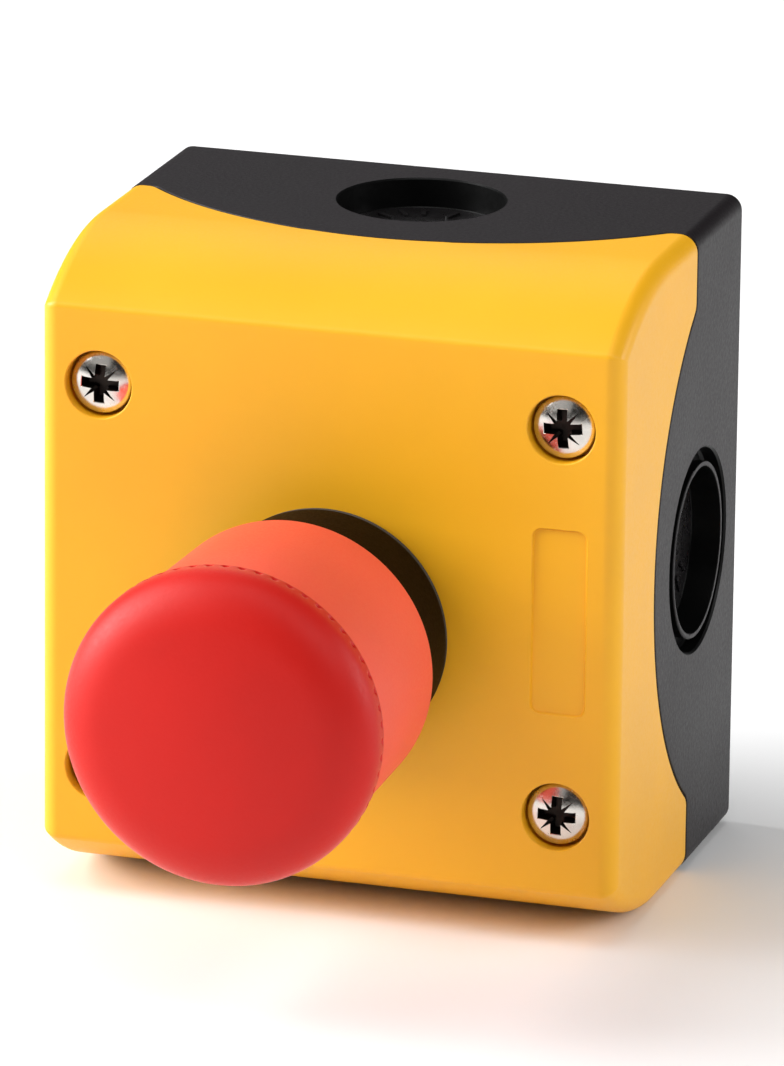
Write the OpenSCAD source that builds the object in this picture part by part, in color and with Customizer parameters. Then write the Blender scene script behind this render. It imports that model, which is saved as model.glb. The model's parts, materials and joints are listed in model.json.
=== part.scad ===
// Emergency stop control station: a one-button surface-mounting enclosure with a push-pull mushroom head.
// Frame: X to the right, +Y into the wall, +Z up. The origin is the middle of the enclosure's back face.
// Most modules are drawn in the wall frame, where the third coordinate is the distance in front of the wall.

/* [Enclosure] */
// Width of the enclosure
case_w = 72; // [70:1:78]
// Height of the enclosure
case_h = 80; // [78:1:90]
// Depth from the wall to the flat front of the lid
case_d = 52; // [52:1:58]
// Thickness of the base and lid walls
wall_t = 2.4; // [2:0.1:2.6]
// Thickness of the lid's front plate
front_t = 2.6; // [2.2:0.1:2.8]
// Depth of the seam between base and lid at the corners
seam_d = 20; // [18:0.5:22]
// How far the base rises above the corner seam in the middle of each side
side_rise = 16.4; // [14:0.1:17]
// How far the base rises above the corner seam in the middle of the top and bottom
top_rise = 13.8; // [12:0.1:15]
// Height of the flat part of the lid's front
flat_h = 66.6; // [60:0.2:68]
// Depth of the curved shoulder behind the lid's flat front
shoulder_d = 20; // [14:1:22]
// Visible gap along the seam
seam_gap = 0.3; // [0.2:0.05:0.5]

/* [Cable entries] */
// Diameter of the inner knockout, which takes an M20 gland
entry_d = 20.4; // [20:0.1:20.6]
// Diameter of the outer knockout on the sides, which takes an M25 gland
entry_outer_d = 25; // [24.6:0.1:25.4]
// Depth of the recess in front of the knockout membrane
entry_recess = 3.7; // [3:0.1:4]
// Distance of the side knockouts from the wall
side_entry_y = 17.5; // [17:0.5:19]
// Distance of the top and bottom knockouts from the wall
top_entry_y = 15.5; // [15:0.5:17]

/* [Fixings] */
// Spacing of the wall fixing holes across
fix_dx = 52; // [46:1:54]
// Spacing of the wall fixing holes up and down
fix_dz = 64; // [62:1:64]
// Diameter of the wall fixing holes
fix_hole_d = 4.3; // [4.3:0.1:5]
// Depth of the wall fixing holes, which stop at a thin skin that the screw breaks
fix_hole_depth = 1.8; // [1.6:0.1:2]
// Spacing of the lid screws across
screw_dx = 57.2; // [54:0.2:58]
// Spacing of the lid screws up and down
screw_dz = 47.7; // [46:0.1:48]
// Diameter of a lid screw's head
screw_head_d = 7.6; // [7:0.1:7.6]

/* [Push button] */
// Height of the button's axis above the middle of the enclosure
button_z = -3.6; // [-4:0.1:-2]
// Diameter of the mounting hole in the lid
panel_hole_d = 22.5; // [22.3:0.1:22.5]
// Diameter of the dark collar around the button's foot
collar_d = 30.4; // [30:0.1:31]
// Diameter of the skirt at its open rim
skirt_rim_d = 34.9; // [34:0.1:35.4]
// Diameter of the skirt under the cap
skirt_top_d = 36; // [35.6:0.1:36.2]
// Diameter of the mushroom cap
cap_d = 38; // [37.6:0.1:40]
// Height of the skirt's rim in front of the lid
skirt_rim_h = 13.2; // [13:0.1:15]
// Height of the joint between skirt and cap in front of the lid
cap_base_h = 37.2; // [36:0.1:38]
// Width of the cap's rounded rim, seen from the front
cap_bend_w = 8.2; // [6:0.1:9]
// Height of the cap's rounded rim, from its widest part to the crown
cap_bend_h = 5.5; // [4.8:0.1:7]
// Travel of the button from released to latched
travel = 4.5; // [3:0.1:4.5]

/* [Contacts] */
// Distance of each contact block's middle from the button's axis
block_x = 6.2; // [6:0.1:6.6]
// Width of one contact block
block_w = 10.8; // [10:0.1:11]
// Length of one contact block
block_l = 40; // [39:0.5:40]

/* [Hidden] */

$fn = 96;
eps = 0.05;
half_w = case_w / 2;
half_h = case_h / 2;
corner_r = 2;
front_edge_r = 2.2;

// Seam: the circles that bound the base's raised tabs, found from chord and rise
side_chord = 30.7;
top_chord = 32.4;
side_seam_r = (side_chord * side_chord + side_rise * side_rise) / (2 * side_rise);
top_seam_r = (top_chord * top_chord + top_rise * top_rise) / (2 * top_rise);
gasket_t = 0.8;
gasket_out = 0.9;
gasket_in = 2.1;
lip_in = 0.8;

// Lid shoulder arc, tangent to the top and bottom faces
shoulder_drop = (case_h - flat_h) / 2;
shoulder_r = (shoulder_d * shoulder_d + shoulder_drop * shoulder_drop) / (2 * shoulder_drop);
shoulder_steps = 14;

// Lid screws and their pillars
screw_x = screw_dx / 2;
screw_z = screw_dz / 2;
screw_r = 2;
screw_recess_r = screw_head_d / 2 + 0.4;
screw_seat = case_d - 3.4;
seal_t = 0.6;
screw_head_h = 2.6;
pillar_r = 4.2;
pillar_top = 36;
lid_boss_r = 5.4;
thread_clear = 0.05;
pilot_floor = 12;

// Knockouts
membrane_t = 1.3;
entry_boss_t = entry_recess + membrane_t;
entry_groove = 2.2;
entry_ring_r = entry_d / 2 + 0.6;

// Back face pockets
pocket_w = 17;
pocket_h = 29;
pocket_gap = 4;
pocket_depth = 0.8;

// Operator, with heights counted from the lid's front face
seal_h = 1;
flange_h = 3;
barrel_r = 11.1;
barrel_end = -18;
guide_r = 5.06;
stem_r = 5;
stop_h = -4.8;
spring_seat_h = 12;
sleeve_r = 11.4;
sleeve_top = 21;
pocket_r = 9.4;
cavity_r = 7;
collar_top = 24;
nut_t = 5;
nut_r = 15;
seal_ring_h = 8;
seal_ring_r = 0.9;

// Stem cone, which works the latch pins
cone_low_h = -16;
cone_low_r = 4.6;
cone_slope = 0.2;
cone_high_h = -5;
latch_h = -12;
latch_pin_r = 1.55;
latch_bore_r = 1.6;
latch_tip_r = 0.5;
latch_tip_x = cone_low_r + cone_slope * (latch_h + latch_tip_r - cone_low_h) + 0.1;
latch_pin_end = 8.4;
latch_band_t = 1.1;

// Head
hub_h = 33.4;
hub_t = 3;
skirt_t = 1.6;
cap_t = 1.9;
rim_fillet = 0.6;
cap_widest_h = cap_base_h + 1.8;
bend_end = 75;
grip_teeth = 60;
grip_h = 1.1;
grip_w = 0.9;
thread_r = 4;
nut_flats = 13;
hub_nut_t = 3.6;
push_bar_t = 3.6;
push_bar_l = 26;
push_bar_w = 9;
small_screw_r = 1.5;
small_head_r = 2.8;

// Contact blocks, with heights counted from the wall
floor_t = 2.4;
rail_top = 5;
block_top = 23.4;
cover_top = 25.4;
bar_bottom = case_d + barrel_end - push_bar_t;
plunger_r = 2.4;
spigot_r = 1.2;
bridge_top = 17.6;
bridge_t = 0.6;
contact_gap = 0.05;
tip_t = 0.5;
tip_r = 1;
tip_z = 7.6;
strip_in = 6.4;
strip_out = 18.8;
strip_bottom = bridge_top + 2 * tip_t + contact_gap;
strip_t = 0.8;
cavity_w = 6;
cavity_l = 20;
cavity_floor = 7.4;
terminal_z = 15;
clamp_t = 0.9;

// ---- Shared shapes ----

// Places a wall-frame shape in the part's frame: third coordinate forward of the wall
module wall_frame() {
    rotate([90, 0, 0]) children();
}

// Places a shape drawn around the button's axis, with heights counted from the lid's front
module button_frame() {
    wall_frame() translate([0, button_z, case_d]) children();
}

// Outline of a rectangle with rounded corners
function rounded_rect(w, h, r) = [
    for (corner = [0:3], step = [0:6])
        let (
            a = corner * 90 + step * 15,
            sx = (corner == 0 || corner == 3) ? 1 : -1,
            sy = corner < 2 ? 1 : -1
        )
        [sx * (w / 2 - r) + r * cos(a), sy * (h / 2 - r) + r * sin(a)]
];

// Outline of the lid seen from the side: depth against height, with both shoulders
function shoulder(side, inset, front_inset) = [
    for (i = [0:shoulder_steps])
        let (
            reach = shoulder_d - front_inset,
            r = shoulder_r - inset,
            t = (side > 0 ? i : shoulder_steps - i) * asin(reach / r) / shoulder_steps
        )
        [case_d - shoulder_d + r * sin(t), side * (half_h - shoulder_r + r * cos(t))]
];

// Block that fills the lid's outline, drawn in by an inset on every side
module lid_block(inset, front_inset, start) {
    intersection() {
        translate([-(half_w - inset), 0, 0])
            rotate([90, 0, 90])
                linear_extrude(case_w - 2 * inset)
                    rotate(90) mirror([0, 1]) polygon(concat(
                        [[start, half_h - inset]],
                        shoulder(1, inset, front_inset),
                        shoulder(-1, inset, front_inset),
                        [[start, -(half_h - inset)]]
                    ));
        linear_extrude(case_d)
            polygon(rounded_rect(case_w - 2 * inset, case_h - 2 * inset, corner_r));
    }
}

// Wall ring between two insets from the outer faces, up to the seam raised by grow
module rim_ring(grow, inset_a, inset_b) {
    difference() {
        linear_extrude(seam_d + grow)
            polygon(rounded_rect(case_w - 2 * inset_a, case_h - 2 * inset_a, corner_r));
        translate([0, 0, -1])
            linear_extrude(seam_d + grow + 2)
                polygon(rounded_rect(case_w - 2 * inset_b, case_h - 2 * inset_b, 1));
    }
    for (s = [-1, 1]) {
        intersection() {
            translate([s * (half_w - (inset_a + inset_b) / 2), 0, seam_d + side_rise - side_seam_r])
                rotate([0, 90, 0])
                    cylinder(r = side_seam_r + grow, h = inset_b - inset_a, center = true, $fn = 180);
            translate([-case_w, -case_h / 2 + wall_t, seam_d - 4])
                cube([2 * case_w, case_h - 2 * wall_t, case_d]);
        }
        intersection() {
            translate([0, s * (half_h - (inset_a + inset_b) / 2), seam_d + top_rise - top_seam_r])
                rotate([90, 0, 0])
                    cylinder(r = top_seam_r + grow, h = inset_b - inset_a, center = true, $fn = 180);
            translate([-case_w / 2 + wall_t, -case_h, seam_d - 4])
                cube([case_w - 2 * wall_t, 2 * case_h, case_d]);
        }
    }
}

// Repeats children at the four corners of a rectangle
module corners(dx, dz) {
    for (sx = [-1, 1], sz = [-1, 1])
        translate([sx * dx / 2, sz * dz / 2, 0]) children();
}

// Turns children to face each cable entry: side entries with their own distance from the wall
module side_entries() {
    for (s = [-1, 1])
        translate([s * half_w, 0, side_entry_y]) rotate([0, s * 90, 0]) children();
}

module top_entries() {
    for (s = [-1, 1])
        translate([0, s * half_h, top_entry_y]) rotate([-s * 90, 0, 0]) children();
}

// Helical compression spring standing on the origin
module coil(mean_r, wire_r, length, turns) {
    sides = 6;
    steps = 12;
    rings = turns * steps;
    points = [
        for (i = [0:rings], k = [0:sides - 1])
            let (
                a = i * 360 / steps,
                b = k * 360 / sides,
                r = mean_r + wire_r * cos(b)
            )
            [r * cos(a), r * sin(a), wire_r + (length - 2 * wire_r) * i / rings + wire_r * sin(b)]
    ];
    side_faces = [
        for (i = [0:rings - 1], k = [0:sides - 1])
            let (n = (k + 1) % sides)
            [i * sides + k, i * sides + n, (i + 1) * sides + n, (i + 1) * sides + k]
    ];
    start_cap = [[for (k = [0:sides - 1]) sides - 1 - k]];
    end_cap = [[for (k = [0:sides - 1]) rings * sides + k]];
    polyhedron(points, concat(side_faces, start_cap, end_cap));
}

// Domed screw with a cross recess, its head's underside on the origin and its shank below
module cross_screw(head_r, head_h, shank_r, shank_l, slot_l, slot_w) {
    difference() {
        union() {
            intersection() {
                cylinder(r = head_r, h = head_h);
                translate([0, 0, head_h - head_r * 2.2])
                    sphere(r = head_r * 2.2);
            }
            translate([0, 0, -shank_l]) cylinder(r = shank_r, h = shank_l + eps);
        }
        for (a = [0, 90])
            rotate(a) translate([-slot_l / 2, -slot_w / 2, head_h * 0.4])
                cube([slot_l, slot_w, head_h]);
    }
}

// ---- Enclosure ----

module enclosure_base() {
    color([0.14, 0.13, 0.135]) wall_frame() difference() {
        union() {
            linear_extrude(floor_t)
                polygon(rounded_rect(case_w, case_h, corner_r));
            rim_ring(0, 0, wall_t);
            corners(screw_dx, screw_dz) {
                cylinder(r = pillar_r, h = pillar_top);
            }
            for (sx = [-1, 1], sz = [-1, 1])
                translate([sx * (half_w - wall_t / 2 - 2), sz * screw_z, seam_d / 2])
                    cube([wall_t + 4, 2, seam_d - 2], center = true);
            side_entries() translate([0, 0, -entry_boss_t])
                cylinder(r = entry_outer_d / 2 + 1.5, h = entry_boss_t - eps);
            top_entries() translate([0, 0, -entry_boss_t])
                cylinder(r = entry_d / 2 + 2, h = entry_boss_t - eps);
        }
        corners(screw_dx, screw_dz) translate([0, 0, pilot_floor])
            cylinder(r = screw_r + thread_clear, h = case_d);
        corners(fix_dx, fix_dz) translate([0, 0, -1])
            cylinder(d = fix_hole_d, h = fix_hole_depth + 1);
        side_entries() {
            translate([0, 0, -entry_recess])
                cylinder(d = entry_d, h = entry_recess + 1);
            translate([0, 0, -entry_groove]) difference() {
                cylinder(d = entry_outer_d, h = entry_groove + 1);
                translate([0, 0, -1]) cylinder(r = entry_ring_r, h = entry_groove + 3);
            }
        }
        top_entries() translate([0, 0, -entry_recess])
            cylinder(d = entry_d, h = entry_recess + 1);
        corners(pocket_w + pocket_gap, pocket_h + pocket_gap)
            translate([-pocket_w / 2, -pocket_h / 2, -1])
                cube([pocket_w, pocket_h, pocket_depth + 1]);
        for (s = [-1, 1])
            translate([0, button_z + s * (block_l / 2 + 3), pocket_depth + 0.4])
                cylinder(r = small_screw_r + thread_clear, h = floor_t);
    }
}

module lid() {
    color([0.96, 0.72, 0.13]) wall_frame() difference() {
        union() {
            difference() {
                intersection() {
                    lid_block(0, 0, seam_d + seam_gap);
                    translate([0, half_h, 0]) rotate([90, 0, 0])
                        linear_extrude(case_h)
                            polygon(rounded_front());
                }
                lid_block(wall_t, front_t, 0);
            }
            intersection() {
                corners(screw_dx, screw_dz) translate([0, 0, pillar_top + seam_gap])
                    cylinder(r = lid_boss_r, h = case_d - pillar_top - front_t);
                lid_block(wall_t / 2, front_t / 2, 0);
            }
        }
        rim_ring(seam_gap, -1, wall_t + 1);
        rim_ring(gasket_t, lip_in, wall_t + 1);
        translate([0, button_z, 0]) cylinder(d = panel_hole_d, h = case_d + 1);
        corners(screw_dx, screw_dz) {
            translate([0, 0, screw_seat]) cylinder(r = screw_recess_r, h = case_d);
            cylinder(r = screw_r + 0.3, h = case_d);
        }
    }
}

// Plan of the lid seen from above: width against depth, with rounded front edges
function rounded_front() = concat(
    [[-half_w, 0]],
    [for (i = [0:6]) let (a = 180 - i * 15)
        [-(half_w - front_edge_r) + front_edge_r * cos(a), case_d - front_edge_r + front_edge_r * sin(a)]],
    [for (i = [0:6]) let (a = 90 - i * 15)
        [half_w - front_edge_r + front_edge_r * cos(a), case_d - front_edge_r + front_edge_r * sin(a)]],
    [[half_w, 0]]
);

module lid_gasket() {
    color([0.2, 0.2, 0.21]) wall_frame() difference() {
        rim_ring(gasket_t, gasket_out, gasket_in);
        rim_ring(0, gasket_out - 1, gasket_in + 1);
    }
}

module lid_screws() {
    color([0.75, 0.74, 0.72]) wall_frame() corners(screw_dx, screw_dz)
        translate([0, 0, screw_seat + seal_t])
            cross_screw(screw_head_d / 2, screw_head_h, screw_r, 24, 4.6, 1.1);
}

module lid_screw_seals() {
    color([0.1, 0.1, 0.1]) wall_frame() corners(screw_dx, screw_dz)
        translate([0, 0, screw_seat]) difference() {
            cylinder(r = screw_head_d / 2 - 0.2, h = seal_t);
            translate([0, 0, -1]) cylinder(r = screw_r + 0.1, h = seal_t + 2);
        }
}

// ---- Operator ----

module panel_seal() {
    color([0.06, 0.05, 0.05]) button_frame() difference() {
        cylinder(d = collar_d - 0.2, h = seal_h);
        translate([0, 0, -1]) cylinder(d = panel_hole_d + 0.1, h = seal_h + 2);
    }
}

module front_collar() {
    color([0.07, 0.05, 0.05]) button_frame() rotate_extrude() polygon([
        [barrel_r + 3.35, seal_h],
        [collar_d / 2, seal_h],
        [collar_d / 2, collar_top - 1],
        [collar_d / 2 - 1, collar_top],
        [collar_d / 2 - 1.6, collar_top],
        [collar_d / 2 - 1.6, flange_h + 2],
        [sleeve_r + 0.1, flange_h + 2],
        [sleeve_r + 0.1, flange_h],
        [barrel_r + 3.35, flange_h]
    ]);
}

module operator_body() {
    color([0.16, 0.16, 0.17]) button_frame() difference() {
        rotate_extrude() polygon([
            [guide_r, stop_h],
            [cavity_r, stop_h],
            [cavity_r, barrel_end],
            [barrel_r, barrel_end],
            [barrel_r, seal_h],
            [barrel_r + 3.3, seal_h],
            [barrel_r + 3.3, flange_h],
            [sleeve_r, flange_h],
            [sleeve_r, sleeve_top],
            [pocket_r, sleeve_top],
            [pocket_r, spring_seat_h],
            [guide_r, spring_seat_h],
            [guide_r, seal_ring_h + seal_ring_r + 0.1],
            [guide_r + 2 * seal_ring_r, seal_ring_h + seal_ring_r + 0.1],
            [guide_r + 2 * seal_ring_r, seal_ring_h - seal_ring_r - 0.1],
            [guide_r, seal_ring_h - seal_ring_r - 0.1]
        ]);
        translate([0, 0, latch_h]) rotate([0, 90, 0])
            cylinder(r = latch_bore_r, h = 2 * barrel_r + 2, center = true);
    }
}

module ring_nut() {
    color([0.22, 0.22, 0.23]) button_frame() translate([0, 0, -front_t - nut_t]) difference() {
        cylinder(r = nut_r, h = nut_t);
        translate([0, 0, -1]) cylinder(r = barrel_r + thread_clear, h = nut_t + 2);
        for (i = [0:7])
            rotate(i * 45) translate([nut_r + 0.4, 0, -1]) cylinder(r = 1.8, h = nut_t + 2);
    }
}

module stem_seal() {
    color([0.05, 0.05, 0.05]) button_frame() translate([0, 0, seal_ring_h])
        rotate_extrude() translate([stem_r + seal_ring_r + 0.04, 0]) circle(r = seal_ring_r);
}

module head_spring() {
    color([0.7, 0.7, 0.72]) button_frame() translate([0, 0, spring_seat_h + 0.1])
        coil(8.2, 0.55, hub_h - spring_seat_h - 0.2, 7);
}

module latch_ring() {
    color([0.62, 0.63, 0.65]) button_frame() translate([0, 0, latch_h - 2]) difference() {
        cylinder(r = barrel_r + latch_band_t, h = 4);
        translate([0, 0, -1]) cylinder(r = barrel_r + thread_clear, h = 6);
    }
}

// A latch pin and its spring, on the side given by side
module latch_pin(side) {
    color([0.72, 0.72, 0.74]) button_frame() translate([0, 0, latch_h]) rotate([0, side * 90, 0]) {
        translate([0, 0, latch_tip_x])
            cylinder(r1 = latch_tip_r, r2 = latch_pin_r, h = 1.2);
        translate([0, 0, latch_tip_x + 1.2])
            cylinder(r = latch_pin_r, h = latch_pin_end - latch_tip_x - 1.2);
    }
}

module latch_spring(side) {
    color([0.7, 0.7, 0.72]) button_frame() translate([0, 0, latch_h]) rotate([0, side * 90, 0])
        translate([0, 0, latch_pin_end + 0.1])
            coil(1.1, 0.2, barrel_r - latch_pin_end - 0.2, 4);
}

// ---- Mushroom head ----

// Half-section of the cap's outside, drawn in by an inset: a rounded rim that runs into a shallow crown
function dome(inset) =
    let (
        w = cap_bend_w - inset,
        h = cap_bend_h - inset,
        x0 = cap_d / 2 - cap_bend_w + w * cos(bend_end),
        y0 = cap_widest_h + h * sin(bend_end),
        crown = x0 * h / (2 * w * tan(bend_end))
    )
    concat(
        [for (i = [0:8]) let (a = i * bend_end / 8)
            [cap_d / 2 - cap_bend_w + w * cos(a), cap_widest_h + h * sin(a)]],
        [for (i = [4:-1:0]) let (k = i / 5) [k * x0, y0 + crown * (1 - k * k)]]
    );

module mushroom_cap() {
    r = cap_d / 2;
    color([0.86, 0.17, 0.14]) button_frame() difference() {
        rotate_extrude() polygon(concat(
            [[0, cap_base_h], [r - 0.6, cap_base_h], [r - 0.15, cap_base_h + 0.8]],
            dome(0)
        ));
        rotate_extrude() polygon(concat(
            [[0, cap_base_h - 1], [r - cap_t - 0.8, cap_base_h - 1]],
            dome(cap_t)
        ));
        for (i = [0:grip_teeth - 1])
            rotate(i * 360 / grip_teeth) translate([r - 0.35, 0, cap_base_h + grip_h / 2 - 0.1])
                rotate(45) cube([grip_w, grip_w, grip_h], center = true);
    }
}

module mushroom_skirt() {
    color([0.9, 0.28, 0.2]) button_frame() rotate_extrude() polygon([
        [skirt_rim_d / 2 - skirt_t + rim_fillet / 2, skirt_rim_h],
        [skirt_rim_d / 2 - rim_fillet, skirt_rim_h],
        [skirt_rim_d / 2 - rim_fillet * 0.3, skirt_rim_h + rim_fillet * 0.3],
        [skirt_rim_d / 2, skirt_rim_h + rim_fillet],
        [skirt_top_d / 2, cap_base_h],
        [skirt_top_d / 2 - skirt_t, cap_base_h],
        [skirt_rim_d / 2 - skirt_t, skirt_rim_h + rim_fillet]
    ]);
}

module head_hub() {
    color([0.85, 0.85, 0.82]) button_frame() difference() {
        union() {
            translate([0, 0, hub_h])
                cylinder(r = skirt_rim_d / 2 - skirt_t - 0.05, h = hub_t);
            translate([0, 0, hub_h - 4]) cylinder(r = 7, h = 4 + eps);
        }
        translate([0, 0, hub_h - 5]) cylinder(r = stem_r + 0.05, h = 5);
        cylinder(r = thread_r + thread_clear, h = cap_base_h);
        for (i = [0:5])
            rotate(i * 60 + 30) translate([12, 0, hub_h - 1]) cylinder(r = 2.2, h = hub_t + 2);
    }
}

module hub_nut() {
    color([0.72, 0.7, 0.66]) button_frame() translate([0, 0, hub_h + hub_t]) difference() {
        cylinder(d = nut_flats / cos(30), h = hub_nut_t, $fn = 6);
        translate([0, 0, -1]) cylinder(r = thread_r + thread_clear, h = hub_nut_t + 2);
    }
}

module plunger_stem() {
    cone_high_r = cone_low_r + cone_slope * (cone_high_h - cone_low_h);
    color([0.88, 0.88, 0.85]) button_frame() difference() {
        rotate_extrude() polygon([
            [0, barrel_end],
            [cone_low_r, barrel_end],
            [cone_low_r, cone_low_h],
            [cone_high_r, cone_high_h],
            [stem_r, cone_high_h],
            [stem_r, hub_h],
            [thread_r, hub_h],
            [thread_r, hub_h + hub_t + hub_nut_t + 0.6],
            [0, hub_h + hub_t + hub_nut_t + 0.6]
        ]);
        translate([0, 0, barrel_end - 1]) cylinder(r = small_screw_r + thread_clear, h = 9);
    }
}

module push_bar() {
    color([0.3, 0.3, 0.31]) button_frame() translate([0, 0, barrel_end - push_bar_t]) difference() {
        linear_extrude(push_bar_t) polygon(rounded_rect(push_bar_l, push_bar_w, 2));
        translate([0, 0, -1]) cylinder(r = small_screw_r + 0.15, h = push_bar_t + 2);
        translate([0, 0, -1]) cylinder(r = small_head_r + 0.3, h = 3);
    }
}

module push_bar_screw() {
    color([0.7, 0.7, 0.7]) button_frame() translate([0, 0, barrel_end - push_bar_t + 2])
        rotate([180, 0, 0]) cross_screw(small_head_r, 1.8, small_screw_r, 8, 3.2, 0.8);
}

// ---- Contact blocks ----

module contact_rail() {
    color([0.25, 0.25, 0.26]) wall_frame() translate([0, button_z, floor_t]) difference() {
        union() {
            linear_extrude(rail_top - floor_t)
                polygon(rounded_rect(2 * block_x + block_w, block_l - 4, 1));
            linear_extrude(rail_top - floor_t)
                polygon(rounded_rect(9, block_l + 12, 2));
        }
        for (s = [-1, 1])
            translate([0, s * (block_l / 2 + 3), -1]) cylinder(r = small_screw_r + 0.15, h = 6);
    }
}

module contact_rail_screws() {
    color([0.7, 0.7, 0.7]) wall_frame() for (s = [-1, 1])
        translate([0, button_z + s * (block_l / 2 + 3), rail_top])
            cross_screw(small_head_r - 0.2, 1.8, small_screw_r, 3.6, 3.2, 0.8);
}

// Places children on the contact block given by side
module block_frame(side) {
    wall_frame() translate([side * block_x, button_z, 0]) children();
}

module contact_housing(side) {
    color([0.18, 0.18, 0.19]) block_frame(side) difference() {
        translate([-block_w / 2, -block_l / 2, rail_top])
            cube([block_w, block_l, block_top - rail_top]);
        translate([-cavity_w / 2, -cavity_l / 2, cavity_floor])
            cube([cavity_w, cavity_l, block_top]);
        for (s = [-1, 1]) {
            translate([-3.4, s * (terminal_z + 1.2) - 5.2, strip_bottom + strip_t])
                cube([6.8, 10.4, block_top]);
            translate([-2.3, s * (terminal_z - 2) - 6, strip_bottom])
                cube([4.6, 12, block_top]);
            translate([0, s * terminal_z, 9])
                cylinder(r = small_screw_r + thread_clear, h = block_top);
        }
    }
}

module contact_cover(side) {
    color([0.28, 0.28, 0.3]) block_frame(side) difference() {
        translate([-block_w / 2, -cavity_l / 2 - 1.2, block_top])
            cube([block_w, cavity_l + 2.4, cover_top - block_top]);
        translate([0, 0, block_top - 1]) cylinder(r = plunger_r + 0.06, h = 4);
    }
}

module fixed_contacts(side) {
    color([0.83, 0.6, 0.3]) block_frame(side) for (s = [-1, 1]) {
        difference() {
            translate([-2.2, s > 0 ? strip_in : -strip_out, strip_bottom])
                cube([4.4, strip_out - strip_in, strip_t]);
            translate([0, s * terminal_z, 0]) cylinder(r = small_screw_r + 0.1, h = case_d);
        }
        translate([0, s * tip_z, strip_bottom - tip_t])
            cylinder(r = tip_r, h = tip_t + eps);
    }
}

module terminal_clamps() {
    color([0.7, 0.7, 0.68]) for (side = [-1, 1], s = [-1, 1])
        block_frame(side) translate([0, s * terminal_z, strip_bottom + strip_t]) difference() {
            translate([-3, -3, 0]) cube([6, 6, clamp_t]);
            translate([0, 0, -1]) cylinder(r = small_screw_r + 0.1, h = 4);
        }
}

module terminal_screws() {
    color([0.72, 0.71, 0.66]) for (side = [-1, 1], s = [-1, 1])
        block_frame(side) translate([0, s * terminal_z, strip_bottom + strip_t + clamp_t])
            cross_screw(small_head_r, 2, small_screw_r, 9, 3.4, 0.8);
}

module contact_plunger(side) {
    color([0.8, 0.12, 0.1]) block_frame(side) {
        translate([0, 0, bridge_top]) cylinder(r = plunger_r, h = bar_bottom - 0.1 - bridge_top);
        translate([0, 0, bridge_top - 5.6]) cylinder(r = spigot_r, h = 5.6 + eps);
    }
}

module contact_bridge(side) {
    color([0.8, 0.52, 0.3]) block_frame(side) {
        difference() {
            translate([-2, -tip_z - 1.1, bridge_top - bridge_t])
                cube([4, 2 * (tip_z + 1.1), bridge_t]);
            translate([0, 0, bridge_top - 1]) cylinder(r = spigot_r + 0.05, h = 2);
        }
        for (s = [-1, 1])
            translate([0, s * tip_z, bridge_top - eps]) cylinder(r = tip_r, h = tip_t + eps);
    }
}

module contact_spring(side) {
    color([0.7, 0.7, 0.72]) block_frame(side) translate([0, 0, cavity_floor + 0.1])
        coil(1.9, 0.28, bridge_top - bridge_t - cavity_floor - 0.2, 6);
}

enclosure_base();
lid();
lid_gasket();
lid_screws();
lid_screw_seals();
panel_seal();
front_collar();
operator_body();
ring_nut();
stem_seal();
head_spring();
latch_ring();
latch_spring(-1);  // latch_spring_left
latch_spring(1);  // latch_spring_right
latch_pin(-1);  // latch_pin_left
latch_pin(1);  // latch_pin_right
mushroom_cap();
mushroom_skirt();
head_hub();
hub_nut();
plunger_stem();
push_bar();
push_bar_screw();
contact_rail();
contact_rail_screws();
contact_housing(-1);  // contact_housing_left
contact_housing(1);  // contact_housing_right
contact_cover(-1);  // contact_cover_left
contact_cover(1);  // contact_cover_right
fixed_contacts(-1);  // fixed_contacts_left
fixed_contacts(1);  // fixed_contacts_right
terminal_clamps();
terminal_screws();
contact_plunger(-1);  // contact_plunger_left
contact_plunger(1);  // contact_plunger_right
contact_bridge(-1);  // contact_bridge_left
contact_bridge(1);  // contact_bridge_right
contact_spring(-1);  // contact_spring_left
contact_spring(1);  // contact_spring_right
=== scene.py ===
import json
import math

import bmesh
import bpy
from mathutils import Matrix, Vector


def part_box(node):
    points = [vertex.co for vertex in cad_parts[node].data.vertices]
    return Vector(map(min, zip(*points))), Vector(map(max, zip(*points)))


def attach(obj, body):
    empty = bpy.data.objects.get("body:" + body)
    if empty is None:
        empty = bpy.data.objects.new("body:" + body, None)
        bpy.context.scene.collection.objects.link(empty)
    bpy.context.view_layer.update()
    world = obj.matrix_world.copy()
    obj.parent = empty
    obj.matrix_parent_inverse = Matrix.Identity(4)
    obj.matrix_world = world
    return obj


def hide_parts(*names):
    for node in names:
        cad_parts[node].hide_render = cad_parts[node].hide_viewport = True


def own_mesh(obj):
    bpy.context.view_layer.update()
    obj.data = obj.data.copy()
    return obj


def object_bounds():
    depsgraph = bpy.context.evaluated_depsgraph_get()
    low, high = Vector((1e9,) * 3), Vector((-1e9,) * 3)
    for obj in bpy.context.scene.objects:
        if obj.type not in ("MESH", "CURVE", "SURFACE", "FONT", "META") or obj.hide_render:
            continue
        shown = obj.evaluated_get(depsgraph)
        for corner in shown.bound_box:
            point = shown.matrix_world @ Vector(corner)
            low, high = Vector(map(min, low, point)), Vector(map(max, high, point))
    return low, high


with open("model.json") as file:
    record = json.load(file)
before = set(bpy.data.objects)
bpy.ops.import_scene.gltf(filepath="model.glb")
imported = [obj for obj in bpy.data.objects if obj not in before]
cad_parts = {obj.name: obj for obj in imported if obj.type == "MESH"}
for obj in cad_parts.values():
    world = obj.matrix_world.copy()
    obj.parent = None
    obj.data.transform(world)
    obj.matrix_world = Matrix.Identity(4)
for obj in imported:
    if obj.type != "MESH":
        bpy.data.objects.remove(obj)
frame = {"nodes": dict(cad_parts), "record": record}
cad_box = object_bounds()

MM = 0.001
RECORD = frame["record"]

# ---- Sizes ----


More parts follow.
